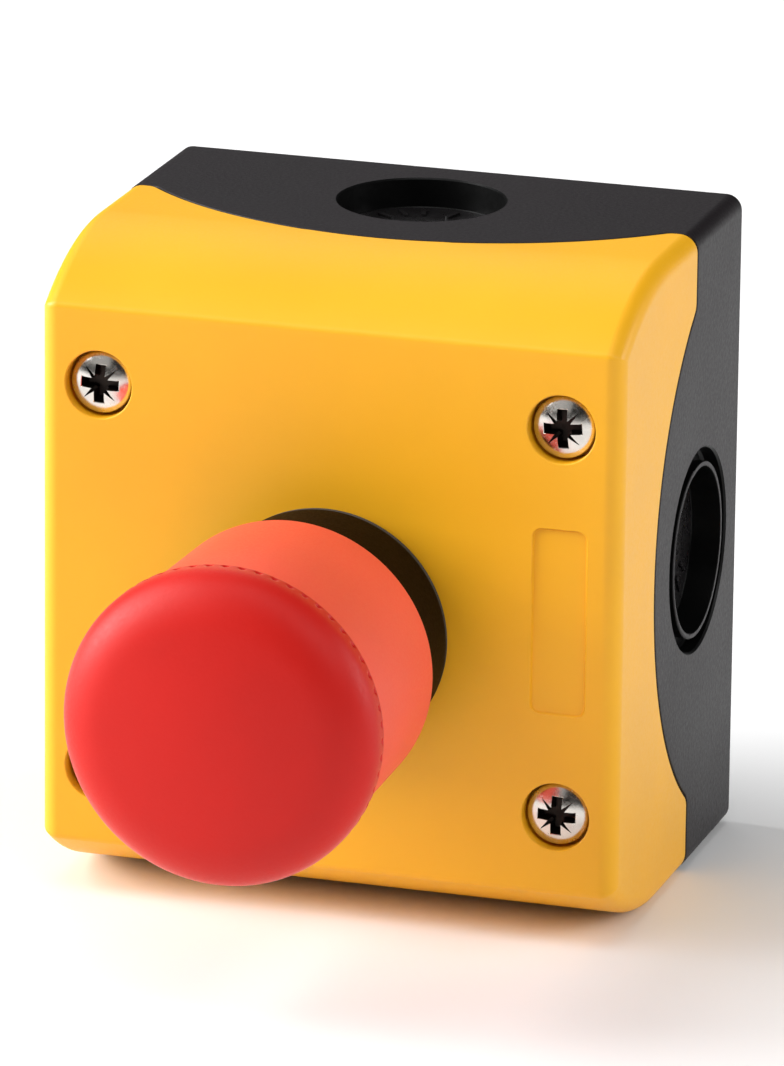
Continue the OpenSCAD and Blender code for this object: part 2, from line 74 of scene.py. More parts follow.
def node_box(node):
    """Lowest and highest corner of a CAD node, in millimetres."""
    low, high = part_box(node)
    return low / MM, high / MM


def mount(name):
    """Place in millimetres, and dimensions, of one of the record's mounts."""
    found = next(m for m in RECORD["mounts"] if m["name"] == name)
    return Vector(found["pos_m"]) / MM, found["dims"]


_, base_high = node_box("enclosure_base")
lid_low, _ = node_box("lid")
half_w = base_high.x
half_h = base_high.z
case_d = -lid_low.y
wall_t = 2.4
front_t = 2.6
corner_r = 2.0
corner_steps = 8

# Seam between base and lid: straight at the corners, an arc in the middle of each side
seam_d = 20.0
seam_gap = 0.3
seam_fillet = 2.0
seam_edge_r = 0.22
lid_edge_r = 0.18
side_chord = 30.7
side_rise = 16.4
top_chord = 32.4
top_rise = 13.8
gasket_t = 0.8
gasket_inset = 0.8

# Front of the lid
shoulder_d = 20.0
shoulder_drop = 6.7
shoulder_r = (shoulder_d**2 + shoulder_drop**2) / (2 * shoulder_drop)
crease_r = 1.0
front_edge_r = 2.2

# Blank field on the lid for an owner's label
field_x, field_z = 28.6, 0.2
field_w, field_h = 6.4, 22.6
field_depth = 0.35
field_slope = 0.25

# Lid screws
screws_low, screws_high = node_box("lid_screws")
screw_head_r = 3.8
screw_x = screws_high.x - screw_head_r
screw_z = screws_high.z - screw_head_r
screw_top = -screws_low.y
screw_end = -screws_high.y
screw_head_h = 2.6
screw_recess_r = 4.15
recess_flare = 0.18
screw_seat = case_d - 3.4
cross_arm = 2.4
cross_half = 0.64
cross_chamfer = 0.2
cross_floor = 0.75
thread_r = 2.0
thread_root_r = 1.72
thread_turns = 18
shank_hole_r = 2.3
pilot_r = 2.05
pilot_floor = 12
boss_r = 5.4
pillar_r = 4.2
pillar_top = 36.0

# Cable entries
side_entry, entry_dims = mount("cable_entry_right")
top_entry, _ = mount("cable_entry_top")
entry_r = entry_dims["r_mm"]
entry_recess = entry_dims["length_mm"]
entry_outer_r = 12.5
entry_groove = 2.2
entry_ring_r = 10.8
entry_boss_t = 5.0
entry_boss_w = 1.6
mark_ring_r = 7.1
mark_l, mark_w = 2.6, 0.6
mark_h = 0.3

# Back
wall_hole_depth = 1.8
wall_hole_flare = 0.3
pocket_w, pocket_h = 17, 29
pocket_gap = 4
pocket_depth = 0.8

# Push button, with heights counted from the lid's front
cap_low, cap_high = node_box("mushroom_cap")
skirt_low, skirt_high = node_box("mushroom_skirt")
collar_low, collar_high = node_box("front_collar")
seal_low, seal_high = node_box("panel_seal")
button_z = (cap_low.z + cap_high.z) / 2
cap_r = (cap_high.x - cap_low.x) / 2
cap_base_h = -cap_high.y - case_d
skirt_top_r = (skirt_high.x - skirt_low.x) / 2
skirt_rim_r = 17.45
skirt_rim_h = -skirt_high.y - case_d
skirt_t = 1.6
collar_r = (collar_high.x - collar_low.x) / 2
collar_top = -collar_low.y - case_d
seal_r = (seal_high.x - seal_low.x) / 2
seal_h = -seal_low.y - case_d
panel_hole_r = 11.25
panel_hole_flare = 0.2
cap_t = 1.9
cap_bend_w = 8.2
cap_bend_h = 5.5
cap_bend_end = 75
cap_edge_r = 0.45
grip_dimples = 60
dimple_h = cap_base_h + 0.75
dimple_r = 0.22
dimple_depth = 0.42

# ---- Shapes ----


def place(x, depth, z):
    """A point in the part's frame."""
    return Vector((x, -depth, z))


def arc(centre, radius, start, stop, steps):
    """Points on an arc from angle start to stop, in degrees."""
    turns = [math.radians(start + (stop - start) * i / steps) for i in range(steps + 1)]
    return [(centre[0] + radius * math.cos(t), centre[1] + radius * math.sin(t)) for t in turns]


def rounded(points, radii, steps):
    """A closed outline with each corner replaced by an arc, all of one radius or each of its own."""
    made = []
    for i, corner in enumerate(points):
        here = Vector(corner)
        back = (Vector(points[i - 1]) - here).normalized()
        ahead = (Vector(points[(i + 1) % len(points)]) - here).normalized()
        radius = radii[i] if isinstance(radii, (list, tuple)) else radii
        half = back.angle(ahead) / 2
        centre = here + (back + ahead).normalized() * radius / math.sin(half)
        first = here + back * radius / math.tan(half) - centre
        last = here + ahead * radius / math.tan(half) - centre
        turn = first.angle_signed(last)
        for k in range(steps + 1):
            a = -turn * k / steps
            spun = Vector((first.x * math.cos(a) - first.y * math.sin(a),
                           first.x * math.sin(a) + first.y * math.cos(a)))
            made.append(tuple(centre + spun))
    return made


def rectangle(half_u, half_v):
    """The corners of a rectangle round the origin."""
    return [(-half_u, -half_v), (half_u, -half_v), (half_u, half_v), (-half_u, half_v)]


def skin(bm, rings, ends=True, loop=False):
    """Faces between rings of points. A ring of one point is a pole."""
    made = [[bm.verts.new(p) for p in ring] for ring in rings]
    pairs = list(zip(made, made[1:]))
    if loop:
        pairs.append((made[-1], made[0]))
    for a, b in pairs:
        count = max(len(a), len(b))
        for i in range(count):
            j = (i + 1) % count
            corners = [a[i % len(a)], a[j % len(a)], b[j % len(b)], b[i % len(b)]]
            corners = list(dict.fromkeys(corners))
            if len(corners) > 2:
                bm.faces.new(corners)
    if ends and not loop:
        for ring in (made[0], made[-1]):
            if len(ring) > 2:
                bm.faces.new(ring)


def new_object(name, bm):
    """An object in the scene, made from a bmesh with its faces turned outwards."""
    bmesh.ops.recalc_face_normals(bm, faces=bm.faces)
    mesh = bpy.data.meshes.new(name)
    bm.to_mesh(mesh)
    bm.free()
    piece = bpy.data.objects.new(name, mesh)
    bpy.context.scene.collection.objects.link(piece)
    return piece


def lofted(name, rings):
    """A closed solid through rings of points."""
    bm = bmesh.new()
    skin(bm, rings)
    return new_object(name, bm)


def prism(name, outline, near, far):
    """A solid between two copies of an outline; near and far place an outline point in space."""
    return lofted(name, [[near(u, v) for u, v in outline], [far(u, v) for u, v in outline]])


def turned(name, profile, x, z, base, steps, loop=False):
    """A solid of revolution round an axis along depth: profile points are (radius, height over base)."""
    turns = [2 * math.pi * i / steps for i in range(steps)]
    rings = []
    for r, h in profile:
        if r < 1e-6:
            rings.append([place(x, base + h, z)])
        else:
            rings.append([place(x + r * math.cos(t), base + h, z + r * math.sin(t)) for t in turns])
    bm = bmesh.new()
    skin(bm, rings, ends=False, loop=loop)
    return new_object(name, bm)


def rod(name, radius, bottom, top, x, z, steps):
    """A plain round rod along depth, from bottom to top."""
    return turned(name, [(0, bottom), (radius, bottom), (radius, top), (0, top)], x, z, 0, steps)


def joined(name, pieces):
    """One object from several that don't touch, with the first one's materials."""
    materials = list(pieces[0].data.materials)
    bm = bmesh.new()
    for piece in pieces:
        moved = piece.data.copy()
        moved.transform(piece.matrix_world)
        bm.from_mesh(moved)
        bpy.data.meshes.remove(moved)
        discard(piece)
    made = new_object(name, bm)
    for material in materials:
        made.data.materials.append(material)
    return made


def discard(piece):
    """Removes a piece and its mesh."""
    mesh = piece.data
    bpy.data.objects.remove(piece)
    bpy.data.meshes.remove(mesh)


def settle(piece):
    """Applies a piece's modifiers to its mesh."""
    bpy.context.view_layer.update()
    depsgraph = bpy.context.evaluated_depsgraph_get()
    mesh = bpy.data.meshes.new_from_object(piece.evaluated_get(depsgraph))
    old = piece.data
    piece.modifiers.clear()
    piece.data = mesh
    bpy.data.meshes.remove(old)


def carve(piece, *tools, operation="DIFFERENCE"):
    """Cuts tools out of a piece, or adds them to it."""
    for tool in tools:
        change = piece.modifiers.new("carve", "BOOLEAN")
        change.operation = operation
        change.solver = "EXACT"
        change.material_mode = "TRANSFER" if tool.data.materials else "INDEX"
        change.object = tool
        settle(piece)
        discard(tool)


def round_edges(piece, chosen, width, segments=2):
    """Bevels the sharp edges that a test picks by the edge's two ends."""
    bm = bmesh.new()
    bm.from_mesh(piece.data)
    sharp = math.radians(50)
    edges = [e for e in bm.edges
             if len(e.link_faces) == 2 and e.calc_face_angle(0) > sharp
             and chosen(e.verts[0].co) and chosen(e.verts[1].co)]
    bmesh.ops.bevel(bm, geom=edges, offset=width, offset_type="OFFSET", segments=segments,
                    profile=0.5, affect="EDGES", clamp_overlap=False)
    bm.to_mesh(piece.data)
    bm.free()


def finish_piece(piece, body, slot, *nodes, smooth=40, flat_faces=False):
    """Turns a piece into metres and gives it its shading and body, and the material of its slot if it has
    none yet.
    """
    piece.data.transform(Matrix.Diagonal((MM, MM, MM, 1)))
    piece.data.shade_smooth()
    piece.data.set_sharp_from_angle(angle=math.radians(smooth))
    if flat_faces:
        weighted = piece.modifiers.new("even_shading", "WEIGHTED_NORMAL")
        weighted.keep_sharp = True
        settle(piece)
    if not piece.data.materials:
        piece.data.materials.append(MATERIALS[slot])
    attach(piece, body)
    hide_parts(*nodes)


# ---- Materials ----


class Nodes:
    """Short forms for building a material's node tree."""

    def __init__(self, name):
        self.material = bpy.data.materials.new(name)
        self.material.use_nodes = True
        self.tree = self.material.node_tree
        self.shader = self.tree.nodes["Principled BSDF"]
        self.where = self.tree.nodes.new("ShaderNodeTexCoord").outputs["Object"]

    def link(self, source, target):
        """Joins an output to an input."""
        self.tree.links.new(source, target)

    def noise(self, scale, detail=2.0, rough=0.5, stretch=None):
        """Clouds or grain; stretch draws them out along the axes."""
        made = self.tree.nodes.new("ShaderNodeTexNoise")
        made.inputs["Scale"].default_value = scale
        made.inputs["Detail"].default_value = detail
        made.inputs["Roughness"].default_value = rough
        source = self.where
        if stretch:
            mapping = self.tree.nodes.new("ShaderNodeMapping")
            mapping.inputs["Scale"].default_value = stretch
            self.link(source, mapping.inputs["Vector"])
            source = mapping.outputs["Vector"]
        self.link(source, made.inputs["Vector"])
        return made.outputs["Fac"]

    def cells(self, scale):
        """Small rounded cells."""
        made = self.tree.nodes.new("ShaderNodeTexVoronoi")
        made.inputs["Scale"].default_value = scale
        self.link(self.where, made.inputs["Vector"])
        return made.outputs["Distance"]

    def spread(self, source, low, high, start=0.3, stop=0.7):
        """Maps values from start to stop onto low to high."""
        made = self.tree.nodes.new("ShaderNodeMapRange")
        made.inputs["From Min"].default_value = start
        made.inputs["From Max"].default_value = stop
        made.inputs["To Min"].default_value = low
        made.inputs["To Max"].default_value = high
        self.link(source, made.inputs["Value"])
        return made.outputs["Result"]

    def mix(self, factor, first, second):
        """A colour between two colours, each a tuple or another node's output."""
        made = self.tree.nodes.new("ShaderNodeMix")
        made.data_type = "RGBA"
        self.link(factor, made.inputs["Factor"])
        for socket, value in ((made.inputs["A"], first), (made.inputs["B"], second)):
            if isinstance(value, tuple):
                socket.default_value = (*value, 1)
            else:
                self.link(value, socket)
        return made.outputs["Result"]

    def add(self, first, second, share):
        """The first value plus a share of the second."""
        made = self.tree.nodes.new("ShaderNodeMath")
        made.operation = "MULTIPLY_ADD"
        made.inputs[1].default_value = share
        self.link(second, made.inputs[0])
        self.link(first, made.inputs[2])
        return made.outputs["Value"]

    def edges(self):
        """1 on outer edges and 0 elsewhere."""
        made = self.tree.nodes.new("ShaderNodeNewGeometry")
        return self.spread(made.outputs["Pointiness"], 0, 1, 0.52, 0.6)

    def bump(self, height, depth):
        """Gives the surface a relief, its depth in metres."""
        made = self.tree.nodes.new("ShaderNodeBump")
        made.inputs["Strength"].default_value = 1.0
        made.inputs["Distance"].default_value = depth
        self.link(height, made.inputs["Height"])
        self.link(made.outputs["Normal"], self.shader.inputs["Normal"])


def shade(colour, factor):
    """A colour made darker or lighter by a factor."""
    return tuple(min(1.0, c * factor) for c in colour)


def plastic(name, colour, rough=0.45, grain=2600, depth=0.00001, vary=0.06, glow=0.0, painted_edge_highlight=0.0,
            shine=0.5, bloom=0.0):
    """Moulded plastic: a fine spark-eroded grain, soft patches of tone, and a painted highlight that makes
    outer edges paler.
    """
    made = Nodes(name)
    patch = made.spread(made.noise(55, 3.0), 0, 1)
    tone = made.mix(patch, shade(colour, 1 - vary), shade(colour, 1 + vary))
    # Painted highlight: outer edges, picked by pointiness, are mixed towards a paler colour.
    if painted_edge_highlight:
        tone = made.mix(made.spread(made.edges(), 0, painted_edge_highlight, 0, 1), tone, shade(colour, 1.5))
    made.link(tone, made.shader.inputs["Base Color"])
    fine = made.noise(grain, 4.0, 0.6)
    made.link(made.spread(made.add(fine, patch, 0.15), rough - 0.07, rough + 0.07, 0.3, 0.8),
              made.shader.inputs["Roughness"])
    made.bump(made.add(fine, made.cells(grain * 0.6), 0.5), depth)
    made.shader.inputs["IOR"].default_value = 1.5
    made.shader.inputs["Specular IOR Level"].default_value = shine
    made.shader.inputs["Sheen Weight"].default_value = bloom
    made.shader.inputs["Sheen Roughness"].default_value = 0.35
    made.shader.inputs["Sheen Tint"].default_value = (1.0, 0.6, 0.45, 1)
    if glow:
        made.shader.inputs["Subsurface Weight"].default_value = glow
        made.shader.inputs["Subsurface Scale"].default_value = 0.002
        made.shader.inputs["Subsurface Radius"].default_value = (1.0, 0.35, 0.2)
    return made.material


def metal(name, colour, rough, lines=(1, 1, 1), scratch=900, dull=0.75):
    """Plated or drawn metal: fine scratches, cloudy tone and small dull marks."""
    made = Nodes(name)
    cloud = made.noise(450, 4.0, 0.6)
    marks = made.noise(scratch, 6.0, 0.7, lines)
    made.link(made.mix(made.spread(cloud, 0, 1, 0.35, 0.7), shade(colour, dull), colour),
              made.shader.inputs["Base Color"])
    made.link(made.spread(marks, rough - 0.06, rough + 0.12, 0.35, 0.7), made.shader.inputs["Roughness"])
    made.shader.inputs["Metallic"].default_value = 1.0
    made.bump(marks, 0.000002)
    return made.material


def rubber(name, colour):
    """Soft rubber: dull, with a faint bloom and a sanded grain."""
    made = Nodes(name)
    bloom = made.spread(made.noise(220, 5.0, 0.6), 0, 1, 0.4, 0.75)
    made.link(made.mix(bloom, colour, shade(colour, 1.8)), made.shader.inputs["Base Color"])
    made.link(made.spread(bloom, 0.62, 0.85, 0, 1), made.shader.inputs["Roughness"])
    made.bump(made.noise(3500, 3.0), 0.00001)
    made.shader.inputs["Sheen Weight"].default_value = 0.04
    made.shader.inputs["Sheen Roughness"].default_value = 0.4
    return made.material


MATERIALS = {
    # base_plastic and lid_plastic carry a painted highlight on their outer edges.
    "base_plastic": plastic("base_plastic", (0.0078, 0.0052, 0.0066), rough=0.5, grain=2200, depth=0.00003,
                            vary=0.12, painted_edge_highlight=0.25, shine=0.36),
    "lid_plastic": plastic("lid_plastic", (0.92, 0.45, 0.010), rough=0.42, grain=2400, depth=0.000008,
                           vary=0.03, painted_edge_highlight=0.06, shine=0.42),
    "gasket_rubber": rubber("gasket_rubber", (0.03, 0.03, 0.03)),
    "screw_steel": metal("screw_steel", (0.80, 0.76, 0.70), rough=0.2),
    "operator_black": plastic("operator_black", (0.006, 0.002, 0.001), rough=0.55, vary=0.15,
                              shine=0.05),
    "spring_steel": metal("spring_steel", (0.55, 0.55, 0.57), rough=0.3, scratch=1500),
    # Cap and skirt are one moulded red: the cap's darker, deeper red is painted shade, and the skirt's
    # lighter, more orange red is painted light.
    "cap_red": plastic("cap_red", (0.575, 0.006, 0.002), rough=0.48, grain=2600, depth=0.000012,
                       vary=0.05, glow=0.05, shine=0.28, bloom=0.36),
    "skirt_red": plastic("skirt_red", (0.84, 0.092, 0.05), rough=0.5, grain=3000, depth=0.000006,
                         vary=0.04, glow=0.15),
    "stem_white": plastic("stem_white", (0.74, 0.73, 0.68), rough=0.4, vary=0.03, glow=0.1),
    "contact_grey": plastic("contact_grey", (0.05, 0.05, 0.055), rough=0.5, vary=0.12),
    "contact_copper": metal("contact_copper", (0.78, 0.46, 0.22), rough=0.28, lines=(1, 6, 1)),
    "plated_steel": metal("plated_steel", (0.70, 0.69, 0.64), rough=0.25),
    "plunger_red": plastic("plunger_red", (0.62, 0.035, 0.025), rough=0.4, vary=0.05),
}
# Near-black steel for the screws' cross recesses and tick grooves: painted shade in these hollows.
RECESS_SHADE_STEEL = metal("recess_shade_steel", (0.045, 0.035, 0.03), rough=0.45, dull=0.4)
MEMBRANE_PLASTIC = plastic("membrane_plastic", (0.010, 0.009, 0.0095), rough=0.28, grain=700,
                           depth=0.00003, vary=0.3)
# Near-black plastic for the knockouts' recess walls and grooves: painted shade in these hollows.
KNOCKOUT_SHADE_PLASTIC = plastic("knockout_shade_plastic", (0.003, 0.003, 0.003), rough=0.35, grain=1500,
                           depth=0.000003, shine=0.12)

# ---- Lid ----


def shoulder_outline(inset, front_inset, back):
    """Side view of the lid, drawn in by the insets: (depth, z) from the top's back end round the front."""
    arc_depth = case_d - shoulder_d
    arc_z = half_h - shoulder_r
    arc_r = shoulder_r - inset
    front = case_d - front_inset
    edge_r = max(crease_r - front_inset, 0.05)
    reach = front - edge_r - arc_depth
    edge_z = arc_z + math.sqrt((arc_r - edge_r) ** 2 - reach**2)
    turn = math.degrees(math.atan2(reach, edge_z - arc_z))
    shoulder = arc((arc_z, arc_depth), arc_r, 0, turn, 20)
    crease = arc((edge_z, front - edge_r), edge_r, turn, 90, 5)
    top = [(depth, z) for z, depth in shoulder + crease[1:]]
    top.insert(0, (back, half_h - inset))
    return top + [(depth, -z) for depth, z in reversed(top)]


def lid_block(name, inset, front_inset, edge_r, back):
    """The lid's outer form as a solid, drawn in by the insets, with its side edges rounded."""
    stations = []
    for i in range(corner_steps + 1):
        t = math.radians(90 * i / corner_steps)
        stations.append((half_w - inset - edge_r * (1 - math.cos(t)), edge_r * (1 - math.sin(t))))
    across = [(-x, e) for x, e in stations] + [(x, e) for x, e in reversed(stations)]
    return lofted(name, [
        [place(x, depth, z) for depth, z in shoulder_outline(inset + e, front_inset + e, back)]
        for x, e in across
    ])


def seam_line(chord, rise, half, grow=0.0):
    """The seam on one side of the case, raised by grow: (place along the side, depth)."""
    radius = (chord**2 + rise**2) / (2 * rise)
    centre = seam_d + rise - radius
    level = seam_d + grow
    big = radius + grow
    small = seam_fillet - grow
    reach = math.sqrt((big + small) ** 2 - (level + small - centre) ** 2)
    lean = math.degrees(math.atan2(level + small - centre, reach))
    fillet = arc((reach, level + small), small, -90, lean - 180, 6)
    middle = arc((0, centre), big, lean, 90, 26)
    right = [(half, level)] + fillet + middle[1:]
    return right + [(-u, d) for u, d in reversed(right[:-1])]


def below_seam(name, along_side, grow, half, reach):
    """Solid that fills everything behind the seam, for one pair of sides."""
    chord, rise = (side_chord, side_rise) if along_side else (top_chord, top_rise)
    line = seam_line(chord, rise, half, grow)
    outline = line + [(-half, -5), (half, -5)]
    if along_side:
        return prism(name, outline, lambda u, d: place(-reach, d, u), lambda u, d: place(reach, d, u))
    return prism(name, outline, lambda u, d: place(u, d, -reach), lambda u, d: place(u, d, reach))


def four(dx, dz):
    """The four corners at these distances from the middle: (x, z)."""
    return [(sx * dx, sz * dz) for sx in (-1, 1) for sz in (-1, 1)]


def flared(radius, depth, flare):
    """Profile of a hole cutter, from its floor up, that opens at its mouth with a rounded edge."""
    lip = arc((radius + flare, -flare), flare, 180, 90, 5)
    return [(0, -depth), (radius, -depth)] + lip + [(radius + flare, 2), (0, 2)]


def make_lid():
    """The lid: a hollow form cut along the seam, with bosses and recesses for its screws."""
    lid = lid_block("lid_shell", 0, 0, front_edge_r, seam_d - 8)
    carve(lid, lid_block("cavity", wall_t, front_t, 0.6, seam_d - 12))
    bosses = [rod("boss", boss_r, pillar_top + seam_gap, case_d - front_t / 2, x, z, 48)
              for x, z in four(screw_x, screw_z)]
    carve(lid, joined("bosses", bosses), operation="UNION")
    carve(lid, below_seam("side_seam", True, seam_gap, half_h + 2, half_w + 2),
          below_seam("top_seam", False, seam_gap, half_w + 2, half_h + 2))
    inner_h, inner_w = half_h - gasket_inset, half_w - gasket_inset
    carve(lid, below_seam("side_rebate", True, gasket_t, inner_h, inner_w),
          below_seam("top_rebate", False, gasket_t, inner_w, inner_h))
    recess = flared(screw_recess_r, case_d - screw_seat, recess_flare)
    holes = [turned("recess", recess, x, z, case_d, 72) for x, z in four(screw_x, screw_z)]
    opening = flared(panel_hole_r, front_t + 2, panel_hole_flare)
    holes.append(turned("opening", opening, 0, button_z, case_d, 96))
    carve(lid, joined("holes", holes))
    shanks = [rod("shank_hole", shank_hole_r, 30, case_d, x, z, 32) for x, z in four(screw_x, screw_z)]
    carve(lid, joined("shank_holes", shanks))
    carve(lid, marking_field())
    round_edges(lid, lambda p: on_outside(p) and -p.y < case_d - 12, lid_edge_r)
    return lid


def on_outside(point):
    """True for a point on the case's outer sides."""
    over_x = abs(point.x) - (half_w - corner_r)
    over_z = abs(point.z) - (half_h - corner_r)
    if over_x > 0 and over_z > 0:
        return math.hypot(over_x, over_z) > corner_r - 0.3
    return max(over_x, over_z) > corner_r - 0.02


def marking_field():
    """Cutter for the shallow blank field that an owner's label goes on."""
    levels = [(-field_depth, 0), (field_slope - field_depth, field_slope * 0.4), (0.3, field_slope * 2.2)]
    return lofted("marking_field", [
        [place(field_x + u, case_d + depth, field_z + v)
         for u, v in rounded(rectangle(field_w / 2 + grow, field_h / 2 + grow), 1.0 + grow, 6)]
        for depth, grow in levels
    ])


# ---- Base ----


def case_outline(inset, radius):
    """Front view of the case as a rectangle with rounded corners: (x, z)."""
    return rounded(rectangle(half_w - inset, half_h - inset), radius, 8)


def case_block(name, levels):
    """Solid through rounded rectangles given as (depth, inset, corner radius)."""
    return lofted(name, [
        [place(x, depth, z) for x, z in case_outline(inset, radius)] for depth, inset, radius in levels
    ])


def above_seam(name, along_side, side):
    """Solid over one side's wall, in front of the seam."""
    clear = 0.3
    chord, rise = (side_chord, side_rise) if along_side else (top_chord, top_rise)
    half, reach = (half_h, half_w) if along_side else (half_w, half_h)
    line = seam_line(chord, rise, half + 1)
    outline = line + [(-half - 1, case_d), (half + 1, case_d)]
    inner = side * (reach - wall_t - clear)
    outer = side * (reach + 1)
    if along_side:
        return prism(name, outline, lambda u, d: place(inner, d, u), lambda u, d: place(outer, d, u))
    return prism(name, outline, lambda u, d: place(u, d, inner), lambda u, d: place(u, d, outer))


def entry_cutters(centre, turn, outer_ring):
    """Cutters for one knockout: a recess, and round it a groove that leaves a thin raised ring."""
    step = 0.08 if outer_ring else 0.18
    recess = [(0, -entry_recess), (entry_r - 0.1, -entry_recess), (entry_r, -entry_recess + 0.1),
              (entry_r, -step), (entry_r + step, 0.02 if outer_ring else 0.0), (entry_r + step, 2), (0, 2)]
    tools = [turned("recess", recess, 0, 0, 0, 128)]
    # The recess's floor takes the cutter's second material
    for face in tools[0].data.polygons:
        if face.center.y > entry_recess - 0.01:
            face.material_index = 1
    if outer_ring:
        groove = [(entry_ring_r, -entry_groove), (entry_outer_r - 0.3, -entry_groove),
                  (entry_outer_r, -entry_groove + 0.3), (entry_outer_r, -0.25),
                  (entry_outer_r + 0.25, 0), (entry_outer_r + 0.25, 1), (entry_ring_r - step, 1),
                  (entry_ring_r - step, 0.02), (entry_ring_r, -step)]
        tools.append(turned("groove", groove, 0, 0, 0, 128, loop=True))
    # Walls and grooves take the near-black plastic, painted shade; the recess floor takes the membrane
    # plastic.
    for tool in tools:
        tool.data.materials.append(KNOCKOUT_SHADE_PLASTIC)
        tool.data.materials.append(MEMBRANE_PLASTIC)
        tool.data.transform(Matrix.Translation(centre) @ turn)
    return tools


def make_base():
    """The base: a tray with screw pillars and four knockouts, cut along the seam."""
    tall = case_d - 6
    edge = 0.5
    levels = []
    for i in range(4):
        t = math.radians(30 * i)
        inset = edge * (1 - math.sin(t))
        levels.append((edge * (1 - math.cos(t)), inset, corner_r - inset))
    levels.append((tall, 0, corner_r))
    base = case_block("base_shell", levels)
    base.data.materials.append(MATERIALS["base_plastic"])
    carve(base, case_block("cavity", [(wall_t, wall_t, 1.0), (case_d, wall_t, 1.0)]))
    carve(base, *[above_seam("trim", along, side) for along in (True, False) for side in (-1, 1)])
    posts = [rod("pillar", pillar_r, 1, pillar_top, x, z, 48) for x, z in four(screw_x, screw_z)]
    carve(base, joined("pillars", posts), operation="UNION")
    faces = entry_faces()
    backings = []
    for centre, turn, outer_ring in faces:
        reach = (entry_outer_r if outer_ring else entry_r) + entry_boss_w
        backing = rod("backing", reach, -entry_boss_t, -wall_t / 2, 0, 0, 96)
        backing.data.transform(Matrix.Translation(centre) @ turn)
        backings.append(backing)
    carve(base, joined("backings", backings), operation="UNION")
    cutters = []
    for centre, turn, outer_ring in faces:
        cutters += entry_cutters(centre, turn, outer_ring)
    carve(base, joined("entries", cutters))
    carve(base, joined("marks", entry_marks(faces)), operation="UNION")
    carve(base, joined("back_details", back_cutters()))
    round_edges(base, lambda p: on_outside(p) and -p.y > seam_d - 0.02, seam_edge_r)
    return base


def entry_marks(faces):
    """Plain raised ribs on each knockout's membrane, where a moulder would put a size mark."""
    sunk = 0.2
    outline = rounded(rectangle(mark_l / 2, mark_w / 2), 0.12, 2)
    ribs = []
    for centre, turn, _ in faces:
        for direction in (-145, -125, -105, -75, -55, -35, 35, 55, 75, 105, 125, 145):
            a = math.radians(direction)
            middle = Vector((mark_ring_r * math.cos(a), 0, mark_ring_r * math.sin(a)))
            spin = Matrix.Rotation(-a, 4, "Y")
            rib = prism("rib", outline, lambda u, v: place(u, -entry_recess - sunk, v),
                        lambda u, v: place(u, -entry_recess + mark_h, v))
            rib.data.materials.append(MEMBRANE_PLASTIC)
            rib.data.transform(Matrix.Translation(centre) @ turn @ Matrix.Translation(middle) @ spin)
            ribs.append(rib)
    return ribs


def entry_faces():
    """Each knockout's centre on the case's side, the turn that points it outwards, and if it has a ring."""
    made = []
    for side in (-1, 1):
        quarter = math.radians(90 * side)
        on_side = Vector((side * half_w, side_entry.y, side_entry.z))
        made.append((on_side, Matrix.Rotation(quarter, 4, "Z"), True))
        on_top = Vector((top_entry.x, top_entry.y, side * half_h))
        made.append((on_top, Matrix.Rotation(-quarter, 4, "X"), False))
    return made


def back_cutters():
    """Cutters for the wall screw holes, the pilot holes and the shallow pockets in the back."""
    _, holes = mount("wall_screws")
    hole_r = holes["hole_r_mm"]
    mouth_r = hole_r + wall_hole_flare
    hole = [(0, -1), (mouth_r, -1), (mouth_r, 0), (hole_r, wall_hole_flare),
            (hole_r, wall_hole_depth), (0, wall_hole_depth)]
    tools = [turned("wall_hole", hole, x, z, 0, 40)
             for x, z in four(holes["spacing_x_mm"] / 2, holes["spacing_y_mm"] / 2)]
    tools += [rod("pilot", pilot_r, pilot_floor, case_d, x, z, 32) for x, z in four(screw_x, screw_z)]
    outline = rounded(rectangle(pocket_w / 2, pocket_h / 2), 1.0, 4)
    for x, z in four((pocket_w + pocket_gap) / 2, (pocket_h + pocket_gap) / 2):
        tools.append(prism("pocket", outline, lambda u, v: place(x + u, -1, z + v),
                           lambda u, v: place(x + u, pocket_depth, z + v)))
    return tools


# ---- Screws ----


def cross_outline(scale):
    """Front view of a cross recess with chamfered inner corners."""
    arm, half_arm = cross_arm * scale, cross_half * scale
    inner = half_arm + cross_chamfer * scale
    quarter = [(arm, -half_arm), (arm, half_arm), (inner, half_arm), (half_arm, inner)]
    points = []
    for turn in range(4):
        c, s = round(math.cos(turn * math.pi / 2)), round(math.sin(turn * math.pi / 2))
        points += [(u * c - v * s, u * s + v * c) for u, v in quarter]
    return points


def on_arm_end(point):
    """True for a point on the outer edge of one of the cross recess's arms."""
    near, far = sorted((abs(point.x), abs(point.z)))
    return near < cross_half + 0.1 and abs(far - cross_arm) < 0.2 and -point.y > 2.0


